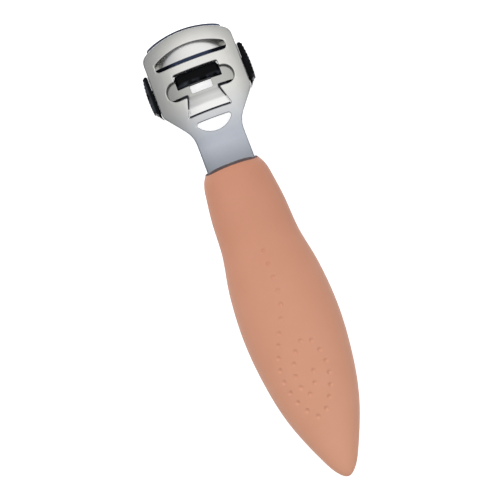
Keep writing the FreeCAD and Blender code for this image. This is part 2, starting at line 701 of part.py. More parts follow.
def leaf_space(gap, half, low, top):
    """The space of a flat-sided stretch of the head plate with a gap round it, in the handle's frame."""
    radius = measure("leaf_radius")
    axis = Vector(0, low, measure("leaf_rise") - radius)
    along = Vector(0, 1, 0)
    outer = Part.makeCylinder(radius + gap, top - low, axis, along)
    inner = Part.makeCylinder(radius - measure("leaf_wall") - gap, top - low, axis, along)
    slab = Part.makeBox(2 * half, top - low, radius + gap, Vector(-half, low, axis.z))
    return outer.cut(inner).common(slab)


handle_length = measure("handle_length")
handle_half = measure("handle_half")
handle_rise = measure("handle_rise")
handle_belly = measure("handle_belly")
rest_drop = measure("rest_drop")
skin_wall = measure("skin_wall")
mouth_recess = measure("mouth_recess")
mouth_half = measure("neck_half + mouth_gap + mouth_lip")
fit_gap = measure("fit_gap")
overrun = measure("overrun")
outer_blank = handle_blank(handle_length, mouth_half, handle_half, handle_rise, handle_belly, rest_drop)
core_blank = handle_blank(handle_length - mouth_recess - skin_wall, measure("neck_half + mouth_gap"),
                          handle_half - skin_wall, handle_rise - skin_wall, handle_belly - skin_wall,
                          rest_drop - skin_wall)
core_blank.translate(Vector(0, -mouth_recess, 0))

# Grip dimples: a straight row down the middle that runs into a whorl, evenly spaced along its path.
dimple_pitch = measure("dimple_pitch")
dimple_spots = []
along = measure("dimple_start")
while along < measure("whorl_place - whorl_length") - dimple_pitch / 2:
    dimple_spots.append((0, along))
    along += dimple_pitch
whorl_half_turns = 3.5
turn = 0
while turn < whorl_half_turns * math.pi:
    turns = turn / math.pi
    across_size = measure("whorl_half") - measure("whorl_half_step") * turns / 2
    along_size = measure("whorl_length") - measure("whorl_length_step") * turns / 2
    dimple_spots.append((-across_size * math.sin(turn) - measure("whorl_shift") * min(1, turns),
                         measure("whorl_place") - along_size * math.cos(turn)))
    turn += dimple_pitch / math.hypot(across_size * math.cos(turn), along_size * math.sin(turn))
dimple_lift = math.sqrt(measure("dimple_radius") ** 2 - measure("dimple_half") ** 2)
dimples = []
for across, along in dimple_spots:
    probe = Part.makeLine(Vector(across, -along, 0), Vector(across, -along, handle_rise + overrun))
    surface = probe.common(outer_blank).BoundBox.ZMax
    dimples.append(Part.makeSphere(measure("dimple_radius"), Vector(across, -along, surface + dimple_lift)))
print("dimples:", len(dimples))

mouth_space = leaf_space(measure("mouth_gap"), measure("neck_half + mouth_gap"), -mouth_recess, overrun)
handle_skin = doc.addObject("Part::Feature", "handle_skin")
handle_skin.Label = "handle_skin"
handle_skin.Shape = outer_blank.cut(core_blank).cut(mouth_space).cut(Part.makeCompound(dimples))
place(handle_skin, "mouth_along", "rest_drop")

# The core grips the tang, which two blind pins key from above and below.
tang_space = leaf_space(fit_gap, measure("tang_half + fit_gap"),
                        -measure("mouth_recess + tang_length + fit_gap"), overrun)
pin_length = measure("pin_length")
pin_floor = measure("leaf_rise") - measure("leaf_wall") / 2 - pin_length / 2
core_shape = core_blank.cut(tang_space)
tang_pins = []
for number, name in enumerate(("front", "rear")):
    reach = "pin_first" + " + pin_spacing" * number
    seat = Vector(0, -measure(reach), pin_floor - fit_gap)
    pin_space = Part.makeCylinder(measure("pin_radius + fit_gap"), pin_length + 2 * fit_gap, seat)
    core_shape = core_shape.cut(pin_space)
    pin = doc.addObject("Part::Cylinder", "tang_pin_" + name)
    pin.Label = "tang_pin_" + name
    bind(pin, {"Radius": "pin_radius", "Height": "pin_length"})
    place(pin, "mouth_along - " + reach.replace(" +", " -"),
          "rest_drop + leaf_rise - leaf_wall / 2 - pin_length / 2")
    tang_pins.append(pin)
handle_core = doc.addObject("Part::Feature", "handle_core")
handle_core.Label = "handle_core"
handle_core.Shape = core_shape
place(handle_core, "mouth_along", "rest_drop")

doc.recompute()
for item in doc.Objects:
    if "Invalid" in item.State or "Error" in item.State:
        raise RuntimeError(item.Label + " failed")
pieces = [head_plate, clamp_plate, blade, blade_carrier, pivot_rivet_right, pivot_rivet_left,
          carrier_rivet_right, carrier_rivet_left, handle_core, handle_skin] + tang_pins
os.makedirs("parts", exist_ok=True)
for piece in pieces:
    if piece.Shape.isNull() or not piece.Shape.isValid() or len(piece.Shape.Solids) != 1:
        raise RuntimeError(piece.Label + " is not one sound solid")
    piece.Shape.exportStep("parts/" + piece.Label + ".step")
    box = piece.Shape.BoundBox
    print(piece.Label, round(piece.Shape.Volume, 1), [round(value, 2) for value in (
        box.XMin, box.XMax, box.YMin, box.YMax, box.ZMin, box.ZMax)])
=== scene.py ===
import bmesh
import bpy
import math
import numpy as np
from mathutils import Matrix, Vector, geometry


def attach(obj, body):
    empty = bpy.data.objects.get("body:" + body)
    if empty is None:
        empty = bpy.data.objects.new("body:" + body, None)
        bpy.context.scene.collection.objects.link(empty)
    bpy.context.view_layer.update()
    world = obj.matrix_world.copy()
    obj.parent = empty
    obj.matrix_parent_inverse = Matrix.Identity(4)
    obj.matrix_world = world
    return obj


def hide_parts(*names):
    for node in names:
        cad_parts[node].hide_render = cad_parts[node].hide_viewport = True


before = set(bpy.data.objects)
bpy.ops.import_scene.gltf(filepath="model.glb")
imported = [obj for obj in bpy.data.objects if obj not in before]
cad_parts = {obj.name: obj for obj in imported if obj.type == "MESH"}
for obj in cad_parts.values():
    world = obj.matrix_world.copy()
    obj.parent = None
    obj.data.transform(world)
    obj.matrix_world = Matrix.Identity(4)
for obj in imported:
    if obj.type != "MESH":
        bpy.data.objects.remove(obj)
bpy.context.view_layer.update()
scene = bpy.context.scene

# The head plate: one stamping of spring steel, cut flat with its slot, window and moon-shaped hole,
# then curved across and curled back along its lip. Two ears are turned down behind it for the hinge.
# Flat outlines are in millimetres: x across, y forward from the head's top edge.
head_top = 84.4
face_up = 8.1
leaf_radius = 46.0
head_half = 16.5
head_wall = 0.8
head_rim = 0.32
brow_radius = 34.0
lip_from = -10.0
lip_radius = 40.0
crease_angle = math.radians(50)


def shade(code):
    """An sRGB hex colour as linear red, green, blue and a full alpha."""
    values = [int(code[place:place + 2], 16) / 255 for place in (1, 3, 5)]
    return [v / 12.92 if v <= 0.04045 else ((v + 0.055) / 1.055) ** 2.4 for v in values] + [1.0]


def feed(tree, node, links):
    """Links outputs of other nodes to the inputs of a node."""
    for name, output in links.items():
        tree.links.new(output, node.inputs[name])


def add_node(tree, kind, settings=None, links=None):
    """Adds a node with its options, its inputs' values and its links."""
    made = tree.nodes.new(kind)
    for name, value in (settings or {}).items():
        if isinstance(name, str) and hasattr(made, name):
            setattr(made, name, value)
        else:
            made.inputs[name].default_value = value
    feed(tree, made, links or {})
    return made


def new_finish(name, settings):
    """A material with one Principled shader; returns it with its tree, shader and object coordinates."""
    made = bpy.data.materials.new(name)
    made.use_nodes = True
    tree = made.node_tree
    shader = tree.nodes["Principled BSDF"]
    for socket, value in settings.items():
        shader.inputs[socket].default_value = value
    place = add_node(tree, "ShaderNodeTexCoord").outputs["Object"]
    return made, tree, shader, place


def new_piece(name, mesh, body, finish, slot, *nodes):
    """Shows a finished mesh as a piece that rides on a body and stands for CAD nodes."""
    piece = bpy.data.objects.new(name, mesh)
    scene.collection.objects.link(piece)
    if finish:
        mesh.materials.append(finish)
    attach(piece, body)
    if nodes:
        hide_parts(*nodes)
    return piece


def trim(points, head, tail):
    """The stretch of a side that is left between the roundings at its two ends."""
    lengths = np.cumsum([0.0] + [(after - before).length for before, after in zip(points, points[1:])])
    end = lengths[-1] - tail
    stations = [head] + [length for length in lengths if head + 0.02 < length < end - 0.02] + [end]
    across = [point.x for point in points]
    along = [point.y for point in points]
    return [Vector((np.interp(s, lengths, across), np.interp(s, lengths, along))) for s in stations]


def outline(corners):
    """A closed outline, counter-clockwise, from corners (x, y, rounding, radius of an arc that follows)."""
    sides = []
    for number, (x, y, rounding, radius) in enumerate(corners):
        start = Vector((x, y))
        end = Vector(corners[(number + 1) % len(corners)][:2])
        if not radius:
            sides.append([start, end])
            continue
        chord = end - start
        inward = Vector((-chord.y, chord.x)).normalized()
        centre = (start + end) / 2 + inward * math.sqrt(radius ** 2 - (chord.length / 2) ** 2)
        first = math.atan2(start.y - centre.y, start.x - centre.x)
        turn = 2 * math.asin(chord.length / 2 / radius)
        steps = math.ceil(turn * radius / 0.5)
        angles = [first + turn * step / steps for step in range(steps + 1)]
        sides.append([centre + radius * Vector((math.cos(a), math.sin(a))) for a in angles])
    cuts = []
    for number, corner in enumerate(corners):
        before, after = sides[number - 1], sides[number]
        bend = (before[-1] - before[-2]).angle(after[1] - after[0])
        cuts.append(corner[2] * math.tan(bend / 2))
    stretches = [trim(side, cuts[number], cuts[(number + 1) % len(corners)])
                 for number, side in enumerate(sides)]
    points = []
    for number, stretch in enumerate(stretches):
        following = stretches[(number + 1) % len(stretches)]
        cut = cuts[(number + 1) % len(corners)]
        points += stretch[:-1]
        if cut < 0.01:
            continue
        before = (stretch[-1] - stretch[-2]).normalized()
        after = (following[1] - following[0]).normalized()
        bend = before.angle(after)
        reach = 4 / 3 * math.tan(bend / 4) * cut / math.tan(bend / 2)
        steps = max(4, math.ceil(bend / 0.2))
        points += geometry.interpolate_bezier(
            stretch[-1], stretch[-1] + before * reach, following[0] - after * reach, following[0], steps)[:-1]
    return [Vector(point[:2]) for point in points]


def both_sides(right):
    """Corners of a symmetrical outline from those of its right side, listed from the back to the front."""
    left = []
    for number in reversed(range(len(right))):
        x, y, rounding, radius = right[number]
        left.append((-x, y, rounding, right[number - 1][3] if number else 0))
    return right + left


def take_mesh(made):
    """Removes an object, and gives the plain mesh that it comes to."""
    evaluated = made.evaluated_get(bpy.context.evaluated_depsgraph_get())
    mesh = bpy.data.meshes.new_from_object(evaluated)
    bpy.data.objects.remove(made)
    return mesh


def blank(outer, holes, wall, rim, cuts_across=(), cuts_along=()):
    """A flat blank with its holes, cut from sheet, its rims eased, and scored where it will bend."""
    curve = bpy.data.curves.new("blank", "CURVE")
    curve.fill_mode = "BOTH"
    curve.extrude = wall / 2 - rim
    curve.bevel_depth = rim
    curve.bevel_resolution = 2
    curve.offset = -rim
    for points in [outer] + [list(reversed(hole)) for hole in holes]:
        spline = curve.splines.new("POLY")
        spline.points.add(len(points) - 1)
        spline.points.foreach_set("co", [value for point in points for value in (point.x, point.y, 0, 1)])
        spline.use_cyclic_u = True
    flat = bpy.data.objects.new("blank", curve)
    scene.collection.objects.link(flat)
    shape = bmesh.new()
    shape.from_mesh(take_mesh(flat))
    bmesh.ops.remove_doubles(shape, verts=shape.verts, dist=0.001)
    for values, axis in ((cuts_across, (1, 0, 0)), (cuts_along, (0, 1, 0))):
        for value in values:
            everything = shape.verts[:] + shape.edges[:] + shape.faces[:]
            bmesh.ops.bisect_plane(shape, geom=everything, dist=0.0005,
                                   plane_co=Vector(axis) * value, plane_no=axis)
    bmesh.ops.recalc_face_normals(shape, faces=shape.faces)
    return shape


def settle(shape, to_place):
    """Moves each point of a blank to its place in the tool, and gives it in metres as a smooth mesh."""
    for vertex in shape.verts:
        vertex.co = Vector(to_place(*vertex.co)) * 0.001
    mesh = bpy.data.meshes.new("shape")
    shape.to_mesh(mesh)
    shape.free()
    mesh.shade_smooth()
    mesh.set_sharp_from_angle(angle=crease_angle)
    return mesh


def join(meshes):
    """One mesh out of several."""
    whole = bmesh.new()
    for mesh in meshes:
        whole.from_mesh(mesh)
    made = bpy.data.meshes.new("joined")
    whole.to_mesh(made)
    whole.free()
    return made


def even_normals(piece):
    """Lets the wide faces of a sheet decide how its rims shade."""
    modifier = piece.modifiers.new("even_normals", "WEIGHTED_NORMAL")
    modifier.weight = 90
    modifier.keep_sharp = True


def leaf_up(x, below):
    """Height of the head's curve at x, some way below its front skin."""
    return face_up - leaf_radius + math.sqrt((leaf_radius - below) ** 2 - x ** 2)


def lip_drop(y):
    """How far the curled lip falls behind the flat of the head."""
    return lip_radius - math.sqrt(lip_radius ** 2 - max(0, y - lip_from) ** 2)


def head_place(x, y, z):
    """Where a point of the flat head blank ends up in the tool."""
    return x, head_top + y, leaf_up(x, head_wall / 2 - z) - lip_drop(y)


brow = brow_radius - math.sqrt(brow_radius ** 2 - head_half ** 2)
head_outline = outline(both_sides([
    (7, -89.3, 2, 0), (7, -53.25, 0, 0), (8.7, -53.25, 0, 0), (8.7, -37.9, 9.8, 0),
    (head_half, -27.1, 2.5, 0), (head_half, -brow, 4, brow_radius)]))
slot_outline = outline(both_sides([(13, -11.5, 1.35, 0), (13, -8.5, 1.35, 28)]))
window_outline = outline(both_sides([
    (7.95, -31.2, 0.5, 0), (5.85, -23.9, 0.5, 0), (12.35, -23.9, 3.4, 0), (12.35, -16.8, 3.4, 0),
    (8.15, -16.8, 0.5, 0), (8.15, -14.6, 0.5, 0)]))
moon_outline = outline([(-6.7, -34.1, 0.9, 7.2), (6.7, -34.1, 0.9, 0)])
across_cuts = [0.8 * step for step in range(-21, 22)]
lip_cuts = [lip_from - 0.4 + 0.65 * step for step in range(16)]
head_blank = blank(head_outline, [slot_outline, window_outline, moon_outline],
                   head_wall, head_rim, across_cuts, lip_cuts)
plate = settle(head_blank, head_place)

# Each ear is a tab with a round end and a hole for its hinge rivet.
pivot_back = 5.8
pivot_down = 4.7
ear_round = 1.35
ear_rim = 0.08
ear_inner = 14.0
rivet_hole = 0.65
hole_sides = 24


def ear(side, inner, wall, seat):
    """A tab from its seat in a plate, down or up to the rivets' line, on one side of the tool."""
    reach = abs(pivot_down - seat)
    tab = outline([(ear_round, reach, 0, 0), (-ear_round, reach, 0, 0), (-ear_round, 0, 0, ear_round),
                   (0, -ear_round, 0, ear_round), (ear_round, 0, 0, 0)])
    turns = [2 * math.pi * step / hole_sides for step in range(hole_sides)]
    hole = [Vector((rivet_hole * math.cos(turn), rivet_hole * math.sin(turn))) for turn in turns]
    shape = blank(tab, [hole], wall, ear_rim)
    if seat > pivot_down:
        bmesh.ops.rotate(shape, verts=shape.verts, matrix=Matrix.Rotation(math.pi, 3, "X"))
    return settle(shape, lambda y, z, x: (
        side * (inner + wall / 2) + x, head_top - pivot_back + y, face_up - pivot_down + z))


ear_seat = face_up - leaf_up(ear_inner + head_wall / 2, head_wall / 2) + lip_drop(-pivot_back)
ears = [ear(side, ear_inner, head_wall, ear_seat) for side in (-1, 1)]

# Bright plated steel: polished after stamping, so it mirrors softly, with hairlines 0.1 mm apart that
# run along the tool from the strip's rolling. The neck is painted bluer and darker as a painted reflection,
# and its root is painted darker still as painted shade where it goes into the handle.
neck_fade = {"From Min": 0.060, "From Max": 0.044}
root_fade = {"From Min": 0.0405, "From Max": 0.0325}
steel, tree, shader, place = new_finish("bright_plated_steel", {"Metallic": 1.0})
stretch = add_node(tree, "ShaderNodeMapping", {"Scale": (9000, 350, 9000)}, {"Vector": place})
hairlines = add_node(tree, "ShaderNodeTexNoise", {"Scale": 1.0, "Detail": 3.0, "Roughness": 0.6},
                     {"Vector": stretch.outputs["Vector"]})
cloud = add_node(tree, "ShaderNodeTexNoise", {"Scale": 160.0, "Detail": 4.0, "Roughness": 0.55},
                 {"Vector": place})
axes = add_node(tree, "ShaderNodeSeparateXYZ", None, {"Vector": place})
neck = add_node(tree, "ShaderNodeMapRange", neck_fade, {"Value": axes.outputs["Y"]})
root = add_node(tree, "ShaderNodeMapRange", root_fade, {"Value": axes.outputs["Y"]})
head_tone = add_node(tree, "ShaderNodeMix", {
    "data_type": "RGBA", "A": shade("#e0dfda"), "B": shade("#ecebe8")}, {"Factor": cloud.outputs["Fac"]})
# Painted reflection: the neck's bluer, darker tone.
neck_reflection_tone = add_node(tree, "ShaderNodeMix", {
    "data_type": "RGBA", "A": shade("#b3b8c2"), "B": shade("#bec3cc")}, {"Factor": cloud.outputs["Fac"]})
tone = add_node(tree, "ShaderNodeMix", {"data_type": "RGBA"}, {
    "Factor": neck.outputs["Result"], "A": head_tone.outputs["Result"], "B": neck_reflection_tone.outputs["Result"]})
# Painted shade at the neck's root, where it goes into the handle.
root_shade_tone = add_node(tree, "ShaderNodeMix", {"data_type": "RGBA", "B": shade("#979ba3")}, {
    "Factor": root.outputs["Result"], "A": tone.outputs["Result"]})
gloss = add_node(tree, "ShaderNodeMapRange", {"To Min": 0.15, "To Max": 0.3},
                 {"Value": hairlines.outputs["Fac"]})
relief = add_node(tree, "ShaderNodeBump", {"Strength": 0.12, "Distance": 0.00002},
                  {"Height": hairlines.outputs["Fac"]})
feed(tree, shader, {"Base Color": root_shade_tone.outputs["Result"], "Roughness": gloss.outputs["Result"],
                    "Normal": relief.outputs["Normal"]})

head = new_piece("sprung_head", join([plate] + ears), "tool", steel, "steel", "head_plate")
even_normals(head)

# The clamp plate: a second stamping, 0.7 mm thick, hinged behind the head on two lugs. It bears on the
# blade, bows back behind the slot to leave room for shavings, and its tongue springs into the window.
clamp_wall = 0.7
clamp_rim = 0.12
clamp_down = 1.35
tongue_down = 0.3
bowl_down = 4.2
curl_down = 5.15
bow_rise = 1.45
bow_half = 12.8
lug_inner = 13.1
lug_seat = 6.74
bend_points = ((-40, tongue_down), (-28.2, tongue_down), (-23.4, clamp_down), (-14.4, clamp_down),
               (-10.4, bowl_down), (0.3, bowl_down), (1.9, curl_down), (5, curl_down))
run_along = np.arange(-40, 5, 0.05)


def pressed(run):
    """Rounds the corners of a run as the press tool does, by averaging it over 0.85 mm twice."""
    for _ in range(2):
        run = np.convolve(np.pad(run, 8, "edge"), np.ones(17) / 17, "valid")
    return run


run_down = pressed(np.interp(run_along, *zip(*bend_points)))
run_bow = pressed(np.interp(run_along, (-10.8, -4, 0.2), (0, bow_rise, 0)))
run_slope = np.gradient(run_down, run_along)


def clamp_place(x, y, z):
    """The clamp's path: square to the sheet through each bend, and curved across as the head is."""
    inward = clamp_wall / 2 - z
    slope = np.interp(y, run_along, run_slope)
    lean = math.hypot(1, slope)
    up = leaf_up(x, clamp_down + inward / lean) + clamp_down - np.interp(y, run_along, run_down)
    up += np.interp(y, run_along, run_bow) * max(0, 1 - abs(x / bow_half) ** 3)
    return x, head_top + y - inward * slope / lean, up


clamp_outline = outline(both_sides([
    (7.75, -31.05, 0.4, 0), (5.5, -23.9, 0, 0), (5.5, -22.65, 0.5, 0), (15.6, -22.65, 1.2, 0),
    (15.6, -8.4, 1.2, 0), (13.8, -8.4, 0.3, 0), (13.8, -0.95, 1.5, 35.2)]))
bar_opening = outline(both_sides([
    (3.9, -22.9, 0.5, 0), (3.9, -19.8, 0.1, 0), (8.15, -19.8, 0.1, 0), (8.15, -14.4, 0.1, 0)]))
ramp_cuts = [-29.95 + 0.25 * step for step in range(30)]
bowl_cuts = [-15.4 + 0.25 * step for step in range(72)]
clamp_sheet = settle(blank(clamp_outline, [bar_opening], clamp_wall, clamp_rim,
                           across_cuts, ramp_cuts + bowl_cuts), clamp_place)
lugs = [ear(side, lug_inner, clamp_wall, lug_seat) for side in (-1, 1)]

# Mirror-polished steel: the same plate, painted brighter than the head as a painted highlight where it lies
# in the head's shade.
# It is painted darker, as painted shade, on its shoulders under the window and behind the slot's ends; the
# curled edge is painted dark as a painted reflection, and the tongue's end dark as a painted shadow.
shoulders_from = {"From Min": 0.0585, "From Max": 0.0617}
shoulders_to = {"From Min": 0.0702, "From Max": 0.0692}
slot_ends = {"From Min": 0.0082, "From Max": 0.0115}
curl_centre = (0, (head_top - brow_radius) * 0.001, 0)
curl_edge = {"From Min": 0.0346, "From Max": 0.0350}
tongue_end = {"From Min": 0.0539, "From Max": 0.05375}
bright_steel, tree, shader, place = new_finish("mirror_polished_steel", {"Metallic": 1.0})
cloud = add_node(tree, "ShaderNodeTexNoise", {"Scale": 120.0, "Detail": 4.0}, {"Vector": place})
axes = add_node(tree, "ShaderNodeSeparateXYZ", None, {"Vector": place})
sideways = add_node(tree, "ShaderNodeMath", {"operation": "ABSOLUTE"}, {0: axes.outputs["X"]})
plan = add_node(tree, "ShaderNodeVectorMath", {"operation": "MULTIPLY", 1: (1, 1, 0)}, {0: place})
reach = add_node(tree, "ShaderNodeVectorMath", {"operation": "DISTANCE", 1: curl_centre},
                 {0: plan.outputs["Vector"]})
behind = add_node(tree, "ShaderNodeMapRange", shoulders_from, {"Value": axes.outputs["Y"]})
before = add_node(tree, "ShaderNodeMapRange", shoulders_to, {"Value": axes.outputs["Y"]})
shoulders = add_node(tree, "ShaderNodeMath", {"operation": "MULTIPLY"}, {
    0: behind.outputs["Result"], 1: before.outputs["Result"]})
outer = add_node(tree, "ShaderNodeMapRange", slot_ends, {"Value": sideways.outputs["Value"]})
shaded_places = add_node(tree, "ShaderNodeMath", {"operation": "MAXIMUM"}, {
    0: shoulders.outputs["Value"], 1: outer.outputs["Result"]})
curl = add_node(tree, "ShaderNodeMapRange", curl_edge, {"Value": reach.outputs["Value"]})
tip = add_node(tree, "ShaderNodeMapRange", tongue_end, {"Value": axes.outputs["Y"]})
# Painted highlight: the whole plate brighter than the head's steel.
painted_bright_tone = add_node(tree, "ShaderNodeMix", {
    "data_type": "RGBA", "A": shade("#f3f2f1"), "B": shade("#fbfbfa")}, {"Factor": cloud.outputs["Fac"]})
# Painted shade on the shoulders under the window and at the slot's ends.
painted_shade_tone = add_node(tree, "ShaderNodeMix", {
    "data_type": "RGBA", "A": shade("#b9b9b6"), "B": shade("#c6c6c3")}, {"Factor": cloud.outputs["Fac"]})
tone = add_node(tree, "ShaderNodeMix", {"data_type": "RGBA"}, {
    "Factor": shaded_places.outputs["Value"], "A": painted_bright_tone.outputs["Result"], "B": painted_shade_tone.outputs["Result"]})
# Painted dark reflection along the curled edge.
curl_reflection_tone = add_node(tree, "ShaderNodeMix", {"data_type": "RGBA", "B": shade("#71778a")}, {
    "Factor": curl.outputs["Result"], "A": tone.outputs["Result"]})
# Painted shadow at the tongue's end.
tip_shadow_tone = add_node(tree, "ShaderNodeMix", {"data_type": "RGBA", "B": shade("#262a36")}, {
    "Factor": tip.outputs["Result"], "A": curl_reflection_tone.outputs["Result"]})
gloss = add_node(tree, "ShaderNodeMapRange", {"To Min": 0.2, "To Max": 0.32}, {"Value": cloud.outputs["Fac"]})
feed(tree, shader, {"Base Color": tip_shadow_tone.outputs["Result"], "Roughness": gloss.outputs["Result"]})

clamp = new_piece("clamp_sheet", join([clamp_sheet] + lugs), "clamp", bright_steel, "steel", "clamp_plate")
even_normals(clamp)

# The blade: a throw-away strip of hard carbon steel, 0.25 mm thick, ground to an edge that looks out
# into the slot. A notch in its back sits round the carrier's bar.
blade_wall = 0.25
blade_rim = 0.03
blade_down = 0.95
edge_line = -10.0
edge_share = 0.2
blade_outline = outline(both_sides([
    (8.15, -14.6, 0.3, 0), (8.15, -16.6, 0.3, 0), (15.9, -16.6, 0.5, 0), (15.9, edge_line, 0.2, 0)]))
edge_cuts = [edge_line - 1.2, edge_line - 0.8, edge_line - 0.4]


def blade_place(x, y, z):
    """The strip follows the head's curve, and thins to its edge from behind."""
    thickness = max(edge_share, min(1, edge_line - y))
    return x, head_top + y, leaf_up(x, blade_down + (blade_wall / 2 - z) * thickness)


blade_sheet = settle(blank(blade_outline, [], blade_wall, blade_rim, across_cuts, edge_cuts), blade_place)

# Ground blade steel: hardened and blue-grey, painted darker towards its ends as painted shade, with the lines
# of its grinding across the strip, under 0.1 mm apart.
shaded_ends = {"From Min": 0.0055, "From Max": 0.0085}
blade_steel, tree, shader, place = new_finish("ground_blade_steel", {"Metallic": 1.0, "Roughness": 0.3})
stretch = add_node(tree, "ShaderNodeMapping", {"Scale": (400, 12000, 400)}, {"Vector": place})
grinding = add_node(tree, "ShaderNodeTexNoise", {"Scale": 1.0},
                    {"Vector": stretch.outputs["Vector"]})
axes = add_node(tree, "ShaderNodeSeparateXYZ", None, {"Vector": place})
sideways = add_node(tree, "ShaderNodeMath", {"operation": "ABSOLUTE"}, {0: axes.outputs["X"]})
end_shade = add_node(tree, "ShaderNodeMapRange", shaded_ends, {"Value": sideways.outputs["Value"]})
bare_tone = add_node(tree, "ShaderNodeMix", {
    "data_type": "RGBA", "A": shade("#232a3c"), "B": shade("#414a62")}, {"Factor": grinding.outputs["Fac"]})
# Painted shade towards the blade's ends.
end_shade_tone = add_node(tree, "ShaderNodeMix", {
    "data_type": "RGBA", "A": shade("#08090d"), "B": shade("#14171f")}, {"Factor": grinding.outputs["Fac"]})
tone = add_node(tree, "ShaderNodeMix", {"data_type": "RGBA"}, {
    "Factor": end_shade.outputs["Result"], "A": bare_tone.outputs["Result"], "B": end_shade_tone.outputs["Result"]})
relief = add_node(tree, "ShaderNodeBump", {"Strength": 0.2, "Distance": 0.00002},
                  {"Height": grinding.outputs["Fac"]})
feed(tree, shader, {"Base Color": tone.outputs["Result"], "Normal": relief.outputs["Normal"]})

blade = new_piece("blade_strip", blade_sheet, "clamp", blade_steel, "blade_steel", "blade")
even_normals(blade)

# The carrier: a black moulding riveted behind the clamp plate. Its bar comes up through both plates
# and shows in the window, and its two guards cover the blade's ends and take the fingers on ribs.
plate_down = 2.15
plate_wall = 1.2
plate_rim = 0.25
bar_down = 0.35
bar_wall = 2.25
bar_rim = 0.75
bar_middle = -17.6
bar_falloff = 0.05
guard_down = 5.1
guard_wall = 3.8
guard_rim = 0.2
guard_bow = 45.0
plate_outline = outline(both_sides([(16.1, -27.2, 1.5, 0), (17.7, -24.6, 1, 0), (17.7, -15.4, 1.5, 0)]))
plate_opening = outline(both_sides([(3.9, -22.9, 0.5, 0), (3.9, -19.6, 0.2, 0)]))
plate_blank = blank(plate_outline, [plate_opening], plate_wall, plate_rim, across_cuts + [-17.4, 17.4])
moulded = [settle(plate_blank, lambda x, y, z: (
    x, head_top + y, leaf_up(x, plate_down + plate_wall / 2 - z)))]
bar_outline = outline(both_sides([(7.95, -19.6, 0.7, 0), (7.95, -14.8, 0.7, 0)]))
bar_cuts = [-19.2 + 0.4 * step for step in range(11)]
bar_blank = blank(bar_outline, [], bar_wall, bar_rim, across_cuts, bar_cuts)
moulded.append(settle(bar_blank, lambda x, y, z: (
    x, head_top + y, leaf_up(x, bar_down + bar_falloff * (y - bar_middle) ** 2 + bar_wall / 2 - z))))
guard_outline = outline([
    (16.65, -26.7, 0.7, 0), (18.45, -23.7, 2.5, guard_bow), (18.2, -11.3, 2, 0), (16.65, -9.1, 0.7, 0)])
for side in (-1, 1):
    points = [Vector((side * point.x, point.y)) for point in guard_outline]
    guard_blank = blank(points if side > 0 else points[::-1], [], guard_wall, guard_rim)
    moulded.append(settle(guard_blank, lambda x, y, z: (x, head_top + y, face_up - guard_down + z)))

# Moulded black ABS: glossy from a polished tool, with the ripple that shrinkage leaves every
# millimetre. The lower half of the bar and the guards' outer sides carry grey patches of painted glint.
bar_reach = 0.009
bar_lower = {"From Min": 0.0664, "From Max": 0.0656}
glint_side = {"From Min": 0.0176, "From Max": 0.0182}
patch_edge = {"From Min": 0.46, "From Max": 0.62}
black_abs, tree, shader, place = new_finish("moulded_black_abs", {"Specular IOR Level": 0.08})
ripple = add_node(tree, "ShaderNodeTexNoise", {"Scale": 900.0, "Detail": 3.0}, {"Vector": place})
patches = add_node(tree, "ShaderNodeTexNoise", {"Scale": 260.0}, {"Vector": place})
axes = add_node(tree, "ShaderNodeSeparateXYZ", None, {"Vector": place})
sideways = add_node(tree, "ShaderNodeMath", {"operation": "ABSOLUTE"}, {0: axes.outputs["X"]})
lower = add_node(tree, "ShaderNodeMapRange", bar_lower, {"Value": axes.outputs["Y"]})
on_bar = add_node(tree, "ShaderNodeMath", {"operation": "LESS_THAN", 1: bar_reach},
                  {0: sideways.outputs["Value"]})
bar_half = add_node(tree, "ShaderNodeMath", {"operation": "MULTIPLY"}, {
    0: lower.outputs["Result"], 1: on_bar.outputs["Value"]})
side_glint = add_node(tree, "ShaderNodeMapRange", glint_side, {"Value": sideways.outputs["Value"]})
glint_places = add_node(tree, "ShaderNodeMath", {"operation": "MAXIMUM"}, {
    0: bar_half.outputs["Value"], 1: side_glint.outputs["Result"]})
patchy = add_node(tree, "ShaderNodeMapRange", patch_edge, {"Value": patches.outputs["Fac"]})
painted_glint = add_node(tree, "ShaderNodeMath", {"operation": "MULTIPLY"}, {
    0: glint_places.outputs["Value"], 1: patchy.outputs["Result"]})
black_tone = add_node(tree, "ShaderNodeMix", {
    "data_type": "RGBA", "A": shade("#010102"), "B": shade("#050608")}, {"Factor": ripple.outputs["Fac"]})
# Painted glint: grey patches on the bar's lower half and the guards' outer sides.
glint_tone = add_node(tree, "ShaderNodeMix", {"data_type": "RGBA", "B": shade("#34373f")}, {
    "Factor": painted_glint.outputs["Value"], "A": black_tone.outputs["Result"]})
gloss = add_node(tree, "ShaderNodeMapRange", {"To Min": 0.2, "To Max": 0.4}, {"Value": ripple.outputs["Fac"]})
relief = add_node(tree, "ShaderNodeBump", {"Strength": 0.15, "Distance": 0.00005},
                  {"Height": ripple.outputs["Fac"]})
feed(tree, shader, {"Base Color": glint_tone.outputs["Result"], "Roughness": gloss.outputs["Result"],
                    "Normal": relief.outputs["Normal"]})


def new_group(name, sizes, objects=()):
    """A geometry tree with named inputs for its sizes; returns it with its input and output nodes."""
    tree = bpy.data.node_groups.new(name, "GeometryNodeTree")
    tree.interface.new_socket("Geometry", in_out="INPUT", socket_type="NodeSocketGeometry")
    for socket, value in sizes.items():
        made = tree.interface.new_socket(socket, in_out="INPUT", socket_type="NodeSocketFloat")
        made.default_value = value
    for socket in objects:
        tree.interface.new_socket(socket, in_out="INPUT", socket_type="NodeSocketObject")
    tree.interface.new_socket("Geometry", in_out="OUTPUT", socket_type="NodeSocketGeometry")
    return tree, tree.nodes.new("NodeGroupInput"), tree.nodes.new("NodeGroupOutput")


